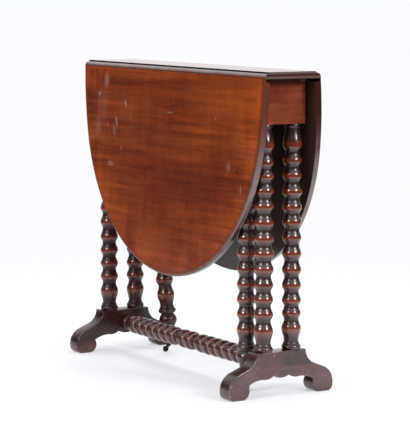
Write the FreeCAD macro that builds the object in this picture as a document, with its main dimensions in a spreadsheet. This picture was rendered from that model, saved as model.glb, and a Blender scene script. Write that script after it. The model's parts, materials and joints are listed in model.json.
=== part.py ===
import FreeCAD, Part
import math
import os
import re

import Sketcher
from FreeCAD import Placement, Rotation, Vector

# Drop-leaf table with two gate legs, in millimetres.
# X runs along the hinge lines, Y across the leaves, Z up from the floor.
sizes = {
    # top boards and their rule joint
    "table_height": 715,
    "top_length": 804,
    "arris_width": 124,
    "board": 16,
    "joint_step": 3,
    "ovolo": 10,
    "joint_gap": 0.4,
    "edge_step": 1,
    "edge_round": 5,
    "edge_quirk": 0.5,
    "leaf_reach": 472,
    "leaf_side_radius": 740,
    "near_lean": 1.1,
    "far_lean": 4.5,
    # hinges and screws
    "hinge_spacing": 270,
    "flap_width": 34,
    "flap_thick": 1.6,
    "top_flap_length": 30,
    "leaf_flap_length": 44,
    "flap_screw_margin": 6,
    "flap_screw_spacing": 14,
    "barrel_radius": 3,
    "barrel_width": 12,
    "hinge_pin_radius": 1.5,
    "run_clear": 0.05,
    "side_clear": 0.3,
    "screw_head_radius": 3.2,
    "screw_head_height": 2,
    "screw_radius": 1.6,
    "hinge_screw_length": 10,
    "cut_over": 1,
    # end frames
    "frame_span": 692.8,
    "column_spread": 73.6,
    "apron_thick": 39,
    "apron_width": 114,
    "apron_height": 99,
    "housing_depth": 8,
    "tenon_radius": 10,
    "tenon_length": 30,
    # turned columns and legs
    "bead_count": 11,
    "bead_radius": 21.5,
    "neck_radius": 15.8,
    "base_height": 70,
    "ring_height": 13,
    "ring_radius": 21.5,
    "ring_bulge": 2.5,
    "lip_radius": 18,
    "lip_height": 3,
    "cove_height": 5,
    "base_belly_height": 50,
    "head_height": 59,
    "head_belly_rise": 17,
    "head_ring_height": 9,
    "head_ring_radius": 18,
    "head_ring_bulge": 1.5,
    # feet
    "foot_thick": 39,
    "foot_height": 100,
    "foot_flat": 128,
    "shoulder_radius": 35,
    "toe_slope": 22,
    "toe_centre": 98.5,
    "toe_rise": 20,
    "toe_radius": 39.5,
    "toe_turn": 12,
    "sole_outer": 125,
    "sole_inner": 98,
    "sole_round": 14,
    "toe_inner_radius": 20,
    "spring_y": 86.5,
    "spring_z": 30.5,
    "arch_y": 48,
    "arch_z": 40.5,
    "arch_radius": 70,
    "cusp_y": 20.5,
    "cusp_z": 46.5,
    "lobe_radius": 32,
    "pendant_drop": 5.5,
    # stretcher
    "stretcher_height": 68,
    "stretcher_bead_radius": 21.9,
    "stretcher_groove_radius": 17.3,
    "stretcher_groove_width": 4,
    "stretcher_bead_count": 9,
    "centre_bead_width": 26,
    "reel_width": 19,
    "reel_radius": 15.5,
    "reel_lip": 2.5,
    "collar_width": 27,
    "collar_neck_radius": 13.5,
    "collar_bulge": 4,
    "collar_bulge_width": 13.5,
    "stretcher_tenon_radius": 11,
    "stretcher_tenon_length": 20,
    # long rails, knuckle joints and gates
    "inner_rail_thick": 16,
    "spacer_thick": 14,
    "spacer_length": 60,
    "spacer_spacing": 200,
    "top_screw_bite": 10,
    "top_screw_length": 32,
    "leg_clear": 0.765,
    "leg_setback": 64.4,
    "rail_thick": 22,
    "rail_clear": 1.5,
    "rail_overhang": 24,
    "knuckle_gap": 0.4,
    "knuckle_pin_radius": 3,
    "knuckle_screw_length": 36,
    "knuckle_screw_start": 80,
    "knuckle_screw_spacing": 90,
    "leg_tenon_radius": 7,
    "leg_tenon_length": 36,
    "near_rake_along": 0,
    "near_rake_out": 0,
    "far_rake_along": 4.3,
    "far_rake_out": 3.4,
    # lower end of a gate leg and its caster
    "ball_height": 26,
    "ball_bulge": 4.6,
    "ball_neck_radius": 15.5,
    "ball_neck_height": 3,
    "ankle_radius": 14.8,
    "cup_top": 42,
    "cup_radius": 12.5,
    "cup_wall": 2,
    "cup_floor": 22,
    "stem_radius": 2.5,
    "stem_length": 16,
    "horn_plate_radius": 9,
    "horn_plate_thick": 2.5,
    "cheek_thick": 1.6,
    "cheek_boss_radius": 3.2,
    "cheek_front": 6.3,
    "cheek_back": 4.5,
    "caster_trail": 12,
    "near_caster_yaw": 318,
    "far_caster_yaw": 238,
    "caster_wheel_radius": 7,
    "caster_wheel_width": 8,
    "caster_axle_radius": 1.5,
}

doc = FreeCAD.newDocument("fold_over_table")
sheet = doc.addObject("Spreadsheet::Sheet", "Size")
for row, (name, size) in enumerate(sizes.items(), 1):
    sheet.set(f"A{row}", name)
    sheet.set(f"B{row}", str(size))
    sheet.setAlias(f"B{row}", name)
doc.recompute()

# Places that several pieces share, written in the words of the sheet.
pin_y = "(arris_width / 2)"
pin_z = "(table_height - joint_step - ovolo)"
underside = "(table_height - board)"
frame_low = "(table_height - board - apron_height)"
rail_top = "(table_height - board - rail_clear)"
frame_x = "(frame_span / 2)"
apron_in = "(frame_span / 2 - apron_thick / 2)"
foot_in = "(frame_span / 2 - foot_thick / 2)"
column_y = "(column_spread / 2)"
inner_rail_in = "(spacer_thick / 2)"
inner_rail_out = "(spacer_thick / 2 + inner_rail_thick)"
bead_pitch = f"(({frame_low} - foot_height - base_height - head_height) / bead_count)"
stretcher_start = "(centre_bead_width / 2 + reel_width)"
stretcher_pitch = f"(({foot_in} - collar_width - {stretcher_start}) / stretcher_bead_count)"
flap_low = "(joint_step + ovolo - board)"
axle_z = "caster_wheel_radius"
head_belly = f"({frame_low} - head_height + head_belly_rise)"
# a gate leg stands just inside the hanging near leaf, and back from the end frame
leaf_inside = f"({pin_y} + {flap_low} + ({pin_z} - {head_belly}) * tan(near_lean * 1 deg))"
gate_offset = f"({leaf_inside} - leg_clear - bead_radius)"
gate_reach = f"({frame_x} - leg_setback)"
rail_in = f"({gate_offset} - rail_thick / 2)"
rail_out = f"({gate_offset} + rail_thick / 2)"

nodes = []


def ex(text):
    """An expression in the sheet's words, as the document spells it."""
    return re.sub(r"[a-z][a-z_0-9]*", lambda word: "Size." * (word[0] in sizes) + word[0], str(text))


def value(text):
    return float(sheet.evalExpression(str(text)))


def bind(item, prop, text):
    item.setExpression(prop, ex(text))


def place(item, x="0", y="0", z="0"):
    for axis, text in zip("xyz", (x, y, z)):
        bind(item, f"Placement.Base.{axis}", text)


def node(item, label):
    item.Label = label
    nodes.append(item)
    return item


def box(xs, ys, zs, side=1):
    """A box between expressions; side -1 turns it half round the Z axis."""
    if side < 0:
        xs = (f"-({xs[1]})", f"-({xs[0]})")
        ys = (f"-({ys[1]})", f"-({ys[0]})")
    item = doc.addObject("Part::Box", "box")
    for prop, (low, high) in zip(("Length", "Width", "Height"), (xs, ys, zs)):
        bind(item, prop, f"({high}) - ({low})")
    place(item, xs[0], ys[0], zs[0])
    return item


def cylinder(radius, length, at, axis="Z"):
    item = doc.addObject("Part::Cylinder", "cylinder")
    bind(item, "Radius", radius)
    bind(item, "Height", length)
    turns = {"X": Rotation(Vector(0, 1, 0), 90), "Y": Rotation(Vector(1, 0, 0), -90), "Z": Rotation()}
    item.Placement = Placement(Vector(), turns[axis])
    place(item, *at)
    return item


def fuse(items):
    if len(items) == 1:
        return items[0]
    item = doc.addObject("Part::MultiFuse", "fuse")
    item.Shapes = items
    return item


def group(items):
    item = doc.addObject("Part::Compound", "group")
    item.Links = items
    return item


def cut(base, tools):
    item = doc.addObject("Part::Cut", "cut")
    item.Base = base
    item.Tool = fuse(tools)
    return item


def screws(places, z, length):
    """Countersunk screws that point up from height z."""
    items = []
    for x, y in places:
        head = doc.addObject("Part::Cone", "screw_head")
        bind(head, "Radius1", "screw_head_radius")
        bind(head, "Radius2", "screw_radius")
        bind(head, "Height", "screw_head_height")
        place(head, x, y, z)
        shank = cylinder("screw_radius", f"{length} - screw_head_height", (x, y, f"{z} + screw_head_height"))
        items.append(fuse([head, shank]))
    return group(items)


def origin_part(body, role):
    return next(part for part in body.Origin.OriginFeatures if part.Role == role)


def outline(body, plane, path):
    """A closed sketch through corners (x, y), or (x, y, radius, turn) where an arc leaves the corner."""
    sketch = body.newObject("Sketcher::SketchObject", "outline")
    sketch.AttachmentSupport = [(origin_part(body, plane), "")]
    sketch.MapMode = "FlatFace"
    corners = [Vector(value(step[0]), value(step[1]), 0) for step in path]
    ends = []
    for step, start, stop in zip(path, corners, corners[1:] + corners[:1]):
        if len(step) == 2:
            sketch.addGeometry(Part.LineSegment(start, stop))
            ends.append((1, 2))
            continue
        radius, turn = value(step[2]), step[3]
        chord = stop - start
        left = Vector(-chord.y, chord.x, 0).normalize()
        rise = math.sqrt(max(radius**2 - chord.Length**2 / 4, 0))
        centre = (start + stop) * 0.5 + left * rise * turn
        first, last = (start, stop) if turn > 0 else (stop, start)
        angles = [math.atan2((point - centre).y, (point - centre).x) for point in (first, last)]
        arc = sketch.addGeometry(Part.ArcOfCircle(Part.Circle(centre, Vector(0, 0, 1), radius), *angles))
        ends.append((1, 2) if turn > 0 else (2, 1))
        bound = sketch.addConstraint(Sketcher.Constraint("Radius", arc, radius))
        bind(sketch, f"Constraints[{bound}]", step[2])
    for index, (step, corner) in enumerate(zip(path, corners)):
        following = (index + 1) % len(path)
        joined = (index, ends[index][1], following, ends[following][0])
        sketch.addConstraint(Sketcher.Constraint("Coincident", *joined))
        for kind, number, text in (("DistanceX", corner.x, step[0]), ("DistanceY", corner.y, step[1])):
            bound = sketch.addConstraint(Sketcher.Constraint(kind, -1, 1, index, ends[index][0], number))
            bind(sketch, f"Constraints[{bound}]", text)
    return sketch


def pad(body, plane, path, length, both=False):
    item = body.newObject("PartDesign::Pad", "pad")
    item.Profile = outline(body, plane, path)
    bind(item, "Length", length)
    item.Midplane = both
    body.Tip = item
    return item


def revolve(body, path, axis):
    """A turning about the sketch's axis; the path lists the outside, and both ends drop to the axis."""
    first, last = path[0], path[-1]
    if axis == "V_Axis":
        path = [("0", first[1])] + path + [("0", last[1])]
    else:
        path = [(first[0], "0")] + path + [(last[0], "0")]
    item = body.newObject("PartDesign::Revolution", "turning")
    item.Profile = outline(body, "XZ_Plane", path)
    item.ReferenceAxis = (item.Profile[0], [axis])
    item.Angle = 360
    body.Tip = item
    return item


def repeat(body, feature, role, spacing, count, backward=False):
    item = body.newObject("PartDesign::LinearPattern", "beads")
    item.Originals = [feature]
    item.Direction = (origin_part(body, role), [""])
    item.Reversed = backward
    bind(item, "Length", f"{spacing} * ({count} - 1)")
    body.Tip = item
    bind(item, "Occurrences", count)
    return item


def bow(chord, rise):
    """Radius of an arc from its chord and its rise."""
    return f"(({chord})^2 / (8 * ({rise})) + ({rise}) / 2)"


def swell(r1, z1, r2, z2, growing):
    """Two equal arcs from (r1, z1) to (r2, z2), along the axis at both ends; the next step ends them."""
    radius = f"((({z2}) - ({z1}))^2 + (({r2}) - ({r1}))^2) / (4 * abs(({r2}) - ({r1})))"
    middle = (f"(({r1}) + ({r2})) / 2", f"(({z1}) + ({z2})) / 2")
    return [(r1, z1, radius, -growing), (*middle, radius, growing)]


def leaf_outline(side, inset):
    """Half oval in the leaf's own plane: two side arcs and a nose arc, tangent where they meet."""
    half, reach, flank = "(top_length / 2)", "leaf_reach", "leaf_side_radius"
    nose = f"(({flank}^2 - ({half} - {flank})^2 - {reach}^2) / (2 * ({flank} - {reach})))"
    join_x = f"({half} - {flank} + ({flank} - {inset}) * ({flank} - {half}) / ({flank} - {nose}))"
    join_y = f"(({flank} - {inset}) * ({reach} - {nose}) / ({flank} - {nose}))"
    start = "joint_gap"
    return [
        (f"{half} - {inset}", f"{side} * {start}", f"{flank} - {inset}", side),
        (join_x, f"{side} * {join_y}", f"{nose} - {inset}", side),
        (f"-{join_x}", f"{side} * {join_y}", f"{flank} - {inset}", side),
        (f"{inset} - {half}", f"{side} * {start}"),
    ]


hinge_places = ["-hinge_spacing", "0", "hinge_spacing"]


def flap_screw_reach(length):
    """Distances from the pin line of a flap's two screws."""
    last = f"({length} - flap_screw_margin)"
    return [f"({last} - flap_screw_spacing)", last]


def hinge_flaps(reach, plate_low, pin_at, sign, knuckles, holes):
    """Flaps of one leaf: a plate, the strips that carry its knuckles, and the bored knuckles."""
    items = []
    pin_across, pin_up = pin_at
    for x in hinge_places:
        left, right = f"{x} - flap_width / 2", f"{x} + flap_width / 2"
        across = sorted_pair(pin_across, sign, "barrel_radius + side_clear * 2", reach)
        pieces = [box((left, right), across, (plate_low, f"{plate_low} + flap_thick"))]
        for low, high in knuckles:
            strip = sorted_pair(pin_across, sign, "0", "barrel_radius + side_clear * 2 + cut_over")
            span = (f"{x} + {low}", f"{x} + {high}")
            pieces.append(box(span, strip, (plate_low, f"{plate_low} + flap_thick")))
            knuckle_at = (span[0], pin_across, pin_up)
            pieces.append(cylinder("barrel_radius", f"({high}) - ({low})", knuckle_at, "X"))
        bore = cylinder("hinge_pin_radius + run_clear", "flap_width", (left, pin_across, pin_up), "X")
        items.append(cut(fuse(pieces), [bore, holes]))
    return group(items)


def sorted_pair(base, sign, low, high):
    """Two places at distances low and high from base, in rising order."""
    near, far = f"{base} + {sign} * ({low})", f"{base} + {sign} * ({high})"
    return (near, far) if sign > 0 else (far, near)


outer_knuckles = [
    ("-flap_width / 2", "-barrel_width / 2 - side_clear"),
    ("barrel_width / 2 + side_clear", "flap_width / 2"),
]
middle_knuckle = [("-barrel_width / 2", "barrel_width / 2")]
sides = {"near": -1, "far": 1}


def make_hinges():
    """Rule-joint hinges. Returns what the top and each leaf must be cut by."""
    top_tools, leaf_tools = [], {}
    for name, side in sides.items():
        pin = (f"{side} * {pin_y}", pin_z)
        inward = [f"({pin_y} - {reach})" for reach in flap_screw_reach("top_flap_length")]
        outward = flap_screw_reach("leaf_flap_length")
        top_places = [(x, f"{side} * {reach}") for x in hinge_places for reach in inward]
        leaf_places = [(x, f"{side} * {reach}") for x in hinge_places for reach in outward]
        top_screws = screws(top_places, underside, "hinge_screw_length")
        leaf_screws = screws(leaf_places, flap_low, "hinge_screw_length")
        node(hinge_flaps("top_flap_length", underside, pin, -side, outer_knuckles, top_screws),
             f"{name}_hinge_top_flaps")
        flaps = hinge_flaps("leaf_flap_length", flap_low, ("0", "0"), side, middle_knuckle, leaf_screws)
        hang(node(flaps, f"{name}_hinge_leaf_flaps"), name, side)
        starts = [(f"{x} - flap_width / 2", *pin) for x in hinge_places]
        pins = [cylinder("hinge_pin_radius", "flap_width", start, "X") for start in starts]
        node(group(pins), f"{name}_hinge_pins")
        node(top_screws, f"{name}_hinge_top_screws")
        hang(node(group([leaf_screws]), f"{name}_hinge_leaf_screws"), name, side)

        leaf_tools[name] = [leaf_screws]
        top_tools.append(top_screws)
        for x in hinge_places:
            span = (f"{x} - flap_width / 2 - side_clear", f"{x} + flap_width / 2 + side_clear")
            seat = sorted_pair(pin[0], -side, "0", "top_flap_length + run_clear")
            half_groove = "(barrel_radius + side_clear * 2)"
            groove = sorted_pair(pin[0], side, f"-{half_groove}", half_groove)
            room = sorted_pair(pin[0], side, "0", "ovolo + cut_over")
            below = f"{underside} - cut_over"
            top_tools.append(box(span, seat, (below, f"{underside} + flap_thick")))
            top_tools.append(box(span, groove, (below, f"{pin_z} + barrel_radius + side_clear")))
            top_tools.append(box(span, room, (below, f"{underside} + flap_thick + side_clear")))
            seat = sorted_pair("0", side, "0", "leaf_flap_length + run_clear")
            leaf_tools[name].append(box(span, seat, (f"{flap_low} - cut_over", f"{flap_low} + flap_thick")))
    return top_tools, leaf_tools


def hang(item, name, side):
    """Puts a piece made flat about the pin line on its leaf as it hangs."""
    item.Placement = Placement(Vector(), Rotation(Vector(1, 0, 0), 0))
    place(item, "0", f"{side} * {pin_y}", pin_z)
    item.Placement.Rotation = Rotation(Vector(1, 0, 0), -side * (90 - value(f"{name}_lean")))
    return item


def make_top(tools):
    body = doc.addObject("PartDesign::Body", "top_board")
    lip = f"{pin_y} + sqrt(ovolo^2 - (board - joint_step - ovolo)^2)"
    step_z = "table_height - joint_step"
    pad(body, "YZ_Plane", [
        (f"-({lip})", underside),
        (lip, underside, "ovolo", 1),
        (pin_y, step_z),
        (pin_y, "table_height"),
        (f"-{pin_y}", "table_height"),
        (f"-{pin_y}", step_z, "ovolo", 1),
    ], "top_length", both=True)
    # thumb moulding on both ends: a step, then a quarter round
    for end in (-1, 1):
        inner, outer = "top_length / 2 - edge_round", "top_length / 2 + cut_over"
        low = "table_height - edge_step - edge_round"
        width = (f"-{pin_y} - ovolo", f"{pin_y} + ovolo")
        block = box((inner, outer), width, (low, "table_height + cut_over"), end)
        round_edge = cylinder("edge_round", f"2 * ({width[1]})", (f"{end} * ({inner})", width[0], low), "Y")
        tools = tools + [cut(block, [round_edge])]
    node(cut(body, tools), "fixed_top")


def make_leaf(name, side, tools):
    body = doc.addObject("PartDesign::Body", "leaf_board")
    low_pad = pad(body, "XY_Plane", leaf_outline(side, "0"), "board - edge_step")
    doc.recompute()
    top_z = low_pad.Shape.BoundBox.ZMax
    rim = [f"Edge{number}" for number, edge in enumerate(low_pad.Shape.Edges, 1)
           if isinstance(edge.Curve, Part.Circle) and abs(edge.CenterOfMass.z - top_z) < 1e-6]
    round_edge = body.newObject("PartDesign::Fillet", "round_edge")
    round_edge.Base = (low_pad, rim)
    bind(round_edge, "Radius", "edge_round")
    body.Tip = round_edge
    face = pad(body, "XY_Plane", leaf_outline(side, "(edge_round + edge_quirk)"), "board")
    body.Tip = face
    place(body, "0", "0", flap_low)
    cove_start = ("-top_length / 2 - cut_over", "0", "0")
    cove = cylinder("ovolo + joint_gap", "top_length + 2 * cut_over", cove_start, "X")
    hang(node(cut(body, [cove] + tools), f"{name}_leaf"), name, side)


def column_sockets(end, low):
    """Holes for the tenons of an end's two columns."""
    places = [(f"{end} * {frame_x}", f"{side} * {column_y}", low) for side in (-1, 1)]
    return [cylinder("tenon_radius + run_clear", "tenon_length", at) for at in places]


def make_aprons(rail_ends):
    for name, end in (("left", -1), ("right", 1)):
        faces = (apron_in, f"{frame_x} + apron_thick / 2")
        board = box(faces, ("-apron_width / 2", "apron_width / 2"), (frame_low, underside), end)
        node(cut(board, column_sockets(end, frame_low) + rail_ends), f"{name}_apron")


def make_inner_rails():
    """Long rails let into the aprons, the blocks between them and the screws that hold the top."""
    reach = f"{apron_in} + housing_depth"
    tools = []
    for name, side in sides.items():
        ys = (inner_rail_in, inner_rail_out)
        rail = box((f"-({reach})", reach), ys, (f"{frame_low} + rail_clear", underside), side)
        node(cut(rail, [knuckle_screws[name]]), f"{name}_inner_rail")
        tools.append(rail)
    head_z = f"{underside} + top_screw_bite - top_screw_length"
    places = [(x, "0") for x in ("-spacer_spacing", "0", "spacer_spacing")]
    fixings = screws(places, head_z, "top_screw_length")
    spacers = []
    for x, y in places:
        span = (f"{x} - spacer_length / 2", f"{x} + spacer_length / 2")
        block = box(span, (f"-{inner_rail_in}", inner_rail_in), (f"{frame_low} + rail_clear", underside))
        well = cylinder("screw_head_radius + side_clear", f"{head_z} - {frame_low} - rail_clear",
                        (x, y, f"{frame_low} + rail_clear"))
        spacers.append(cut(block, [well, fixings]))
    node(group(spacers), "rail_spacers")
    node(fixings, "top_screws")
    return tools, fixings


def make_knuckle_screws(name, side):
    """Screws through a knuckle rail into its inner rail, made upright and then laid across."""
    places = [(f"{side} * (knuckle_screw_start + {number} * knuckle_screw_spacing)",
               f"{side} * ({frame_low} + {rail_top}) / 2") for number in range(3)]
    item = screws(places, f"-{rail_out}", "knuckle_screw_length")
    item.Placement = Placement(Vector(), Rotation(Vector(1, 0, 0), 90 * side))
    return node(item, f"{name}_knuckle_screws")


fingers = 5


def knuckle(side, wood, own_levels):
    """Half of a knuckle joint: the wood and its barrel, relieved at the other half's fingers."""
    height = f"(({rail_top} - {frame_low}) / {fingers})"
    pivot = ("0", f"{side} * {gate_offset}")
    rise = f"({rail_top} - {frame_low})"
    barrel = cylinder("rail_thick / 2", rise, (*pivot, frame_low))
    bore_low = (*pivot, f"{frame_low} - cut_over")
    tools = [cylinder("knuckle_pin_radius + run_clear", f"{rise} + 2 * cut_over", bore_low)]
    for level in set(range(fingers)) - set(own_levels):
        low = f"{frame_low} + {level} * {height} - knuckle_gap / 2"
        room = "rail_thick / 2 * sqrt(2) + knuckle_gap"
        tools.append(cylinder(room, f"{height} + knuckle_gap", (*pivot, low)))
    return fuse([wood, barrel]), tools


def make_gate(name, side):
    """Fixed knuckle rail, swinging fly rail with its pin, turned leg and caster."""
    zs = (frame_low, rail_top)
    thick = box(("rail_thick", apron_in), (inner_rail_out, rail_out), zs, side)
    neck = box(("0", "rail_thick"), (rail_in, rail_out), zs, side)
    wood, tools = knuckle(side, fuse([thick, neck]), (0, 2, 4))
    node(cut(wood, tools + [knuckle_screws[name]]), f"{name}_knuckle_rail")

    fly = box((f"-{gate_reach} - rail_overhang", "0"), (rail_in, rail_out), zs, side)
    wood, tools = knuckle(side, fly, (1, 3))
    socket = group([cylinder("leg_tenon_radius + run_clear", "2 * leg_tenon_length",
                             ("0", "0", f"{frame_low} - leg_tenon_length"))])
    socket.Placement = leg_placement(name, side)
    node(cut(wood, tools + [socket]), f"{name}_fly_rail")
    pivot = ("0", f"{side} * {gate_offset}", frame_low)
    node(cylinder("knuckle_pin_radius", f"{rail_top} - {frame_low}", pivot), f"{name}_knuckle_pin")
    make_leg(name, side)
    make_caster(name, side)


def leg_placement(name, side):
    """A leg's frame: floor level on its axis, raked towards the middle and outwards at its foot."""
    along, out = (math.tan(math.radians(sizes[f"{name}_rake_{way}"])) for way in ("along", "out"))
    height = value(frame_low)
    foot = Vector(-value(gate_reach) + height * along, value(gate_offset) + height * out, 0)
    lean = Rotation(Vector(0, 0, 1), Vector(-along, -out, 1))
    # the lowest point of the tilted caster wheel meets the floor
    caster = lean.multiply(Rotation(Vector(0, 0, 1), sizes[f"{name}_caster_yaw"]))
    radius = sizes["caster_wheel_radius"]
    centre = caster.multVec(Vector(sizes["caster_trail"], 0, radius))
    tilt = abs(caster.multVec(Vector(0, 1, 0)).z)
    foot.z = radius * math.sqrt(1 - tilt**2) + sizes["caster_wheel_width"] / 2 * tilt - centre.z
    half_turn = Placement(Vector(), Rotation(Vector(0, 0, 1), 0 if side > 0 else 180))
    return half_turn.multiply(Placement(foot, lean))


def post_base(foot):
    """Profile from the lower end up to the first neck: base ring, lip, cove and belly."""
    ring_in, ring_top = "ring_radius - ring_bulge", "foot_height + ring_height"
    cove_low = f"{ring_top} + lip_height"
    cove_top = f"{cove_low} + cove_height"
    cove = "((lip_radius - neck_radius)^2 + cove_height^2) / (2 * (lip_radius - neck_radius))"
    belly = "foot_height + base_belly_height"
    return foot + [
        (ring_in, "foot_height", bow("ring_height", "ring_bulge"), 1),
        (ring_in, ring_top),
        ("lip_radius", ring_top),
        ("lip_radius", cove_low, cove, -1),
        *swell("neck_radius", cove_top, "bead_radius", belly, 1),
        *swell("bead_radius", belly, "neck_radius", "foot_height + base_height", -1),
        ("neck_radius", "foot_height + base_height"),
    ]


def post_bead():
    low = "foot_height + base_height"
    middle, high = f"{low} + {bead_pitch} / 2", f"{low} + {bead_pitch}"
    return [
        *swell("neck_radius", low, "bead_radius", middle, 1),
        *swell("bead_radius", middle, "neck_radius", high, -1),
        ("neck_radius", high),
    ]


def post_head(tenon, length):
    """Profile above the beads: a long belly, a ring under the rail and the tenon."""
    low = f"{frame_low} - head_height"
    ring_low = f"{frame_low} - head_ring_height"
    ring_in = "head_ring_radius - head_ring_bulge"
    return [
        *swell("neck_radius", low, "bead_radius", head_belly, 1),
        *swell("bead_radius", head_belly, "neck_radius", ring_low, -1),
        ("neck_radius", ring_low),
        (ring_in, ring_low, bow("head_ring_height", "head_ring_bulge"), 1),
        (ring_in, frame_low),
        (tenon, frame_low),
        (tenon, f"{frame_low} + {length}"),
    ]


def turned_post(foot, tenon, length):
    body = doc.addObject("PartDesign::Body", "post")
    revolve(body, post_base(foot), "V_Axis")
    bead = revolve(body, post_bead(), "V_Axis")
    repeat(body, bead, "Z_Axis", bead_pitch, "bead_count")
    revolve(body, post_head(tenon, length), "V_Axis")
    return body


def make_columns():
    foot = [("tenon_radius", "foot_height - tenon_length"), ("tenon_radius", "foot_height")]
    for end_name, end in (("left", -1), ("right", 1)):
        for name, side in sides.items():
            column = node(turned_post(foot, "tenon_radius", "tenon_length"), f"{end_name}_{name}_column")
            place(column, f"{end} * {frame_x}", f"{side} * {column_y}")


def make_leg(name, side):
    ball_top = "foot_height - ball_neck_height"
    ball_low = f"{ball_top} - ball_height"
    peg = "cup_radius - cup_wall - run_clear"
    foot = [
        (peg, "cup_floor + cup_wall"),
        (peg, "cup_top"),
        ("cup_radius", "cup_top"),
        ("ankle_radius", f"{ball_low} - ball_neck_height"),
        ("ball_neck_radius", ball_low, bow("ball_height", "ball_bulge"), 1),
        ("ball_neck_radius", ball_top),
        ("ball_neck_radius", "foot_height"),
    ]
    stem_hole = cylinder("stem_radius + run_clear", "stem_length", ("0", "0", "cup_floor + cup_wall"))
    leg = cut(turned_post(foot, "leg_tenon_radius", "leg_tenon_length"), [stem_hole])
    node(leg, f"{name}_gate_leg").Placement = leg_placement(name, side)


def make_caster(name, side):
    """Cup on the leg's peg, swivelling horn, axle and wheel, in the leg's own frame."""
    frame = leg_placement(name, side)
    turned = frame.multiply(Placement(Vector(), Rotation(Vector(0, 0, 1), sizes[f"{name}_caster_yaw"])))
    centre = ("0", "0")
    cup = cylinder("cup_radius", "cup_top - cup_floor", (*centre, "cup_floor"))
    bore = cylinder("cup_radius - cup_wall", "cup_top", (*centre, "cup_floor + cup_wall"))
    hole = cylinder("stem_radius + run_clear", "cup_top", centre + ("0",))
    node(cut(cup, [bore, hole]), f"{name}_caster_cup").Placement = frame

    plate_top = "cup_floor - side_clear"
    plate_low = f"{plate_top} - horn_plate_thick"
    pieces = [cylinder("horn_plate_radius", "horn_plate_thick", (*centre, plate_low)),
              cylinder("stem_radius", "cup_wall + stem_length", (*centre, plate_top))]
    inner = "caster_wheel_width / 2 + side_clear"
    for cheek in (-1, 1):
        body = doc.addObject("PartDesign::Body", "cheek")
        boss = "cheek_boss_radius"
        pad(body, "XZ_Plane", [
            ("caster_trail", f"{axle_z} - {boss}", boss, 1),
            (f"caster_trail + {boss}", axle_z),
            ("cheek_front", plate_top),
            ("-cheek_back", plate_top),
            ("-cheek_back", plate_low),
        ], "cheek_thick", both=True)
        place(body, "0", f"{cheek} * ({inner} + cheek_thick / 2)", "0")
        pieces.append(body)
    width = f"2 * ({inner} + cheek_thick)"
    axle_at = ("caster_trail", f"-({width}) / 2", axle_z)
    horn = cut(fuse(pieces), [cylinder("caster_axle_radius", width, axle_at, "Y")])
    node(horn, f"{name}_caster_horn").Placement = turned
    axle = group([cylinder("caster_axle_radius", width, axle_at, "Y")])
    node(axle, f"{name}_caster_axle").Placement = turned
    wheel_at = ("caster_trail", "-caster_wheel_width / 2", axle_z)
    wheel = cut(cylinder("caster_wheel_radius", "caster_wheel_width", wheel_at, "Y"),
                [cylinder("caster_axle_radius + run_clear", "caster_wheel_width", wheel_at, "Y")])
    node(wheel, f"{name}_caster_wheel").Placement = turned


def make_feet():
    slope, run = "toe_slope * 1 deg", "foot_flat / 2"
    shoulder_y = f"{run} + shoulder_radius * (1 - sin({slope}))"
    shoulder = (shoulder_y, f"foot_height - shoulder_radius * cos({slope})")
    crown = (f"toe_centre + toe_radius * sin({slope})", f"toe_rise + toe_radius * cos({slope})")
    tip = ("toe_centre + sqrt(toe_radius^2 - (toe_rise - toe_turn)^2)", "toe_turn")
    # right half from the flat top down to the middle of the underside, each with the arc that leaves it
    half = [
        (run, "foot_height", "shoulder_radius", 1),
        (*shoulder,),
        (*crown, "toe_radius", -1),
        (*tip, "sole_round", -1),
        ("sole_outer", "0"),
        ("sole_inner", "0", "toe_inner_radius", -1),
        ("spring_y", "spring_z", "arch_radius", 1),
        ("arch_y", "arch_z", "lobe_radius", -1),
        ("cusp_y", "cusp_z", bow("2 * cusp_y", "pendant_drop"), -1),
    ]
    # the left half is the same corners in reverse, so each arc now leaves its other end
    mirrored = []
    for here, before in zip(reversed(half), reversed([half[-1]] + half[:-1])):
        arc = before[2:] if here is not half[0] else ()
        mirrored.append((f"-({here[0]})", here[1], *arc))
    for name, end in (("left", -1), ("right", 1)):
        body = doc.addObject("PartDesign::Body", "foot_board")
        pad(body, "YZ_Plane", half + mirrored, "foot_thick", both=True)
        place(body, f"{end} * {frame_x}")
        tools = column_sockets(end, "foot_height - tenon_length")
        reach = "stretcher_tenon_length"
        start = foot_in if end > 0 else f"-{foot_in} - {reach}"
        socket_at = (start, "0", "stretcher_height")
        tools.append(cylinder("stretcher_tenon_radius + run_clear", reach, socket_at, "X"))
        node(cut(body, tools), f"{name}_foot")


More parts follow.
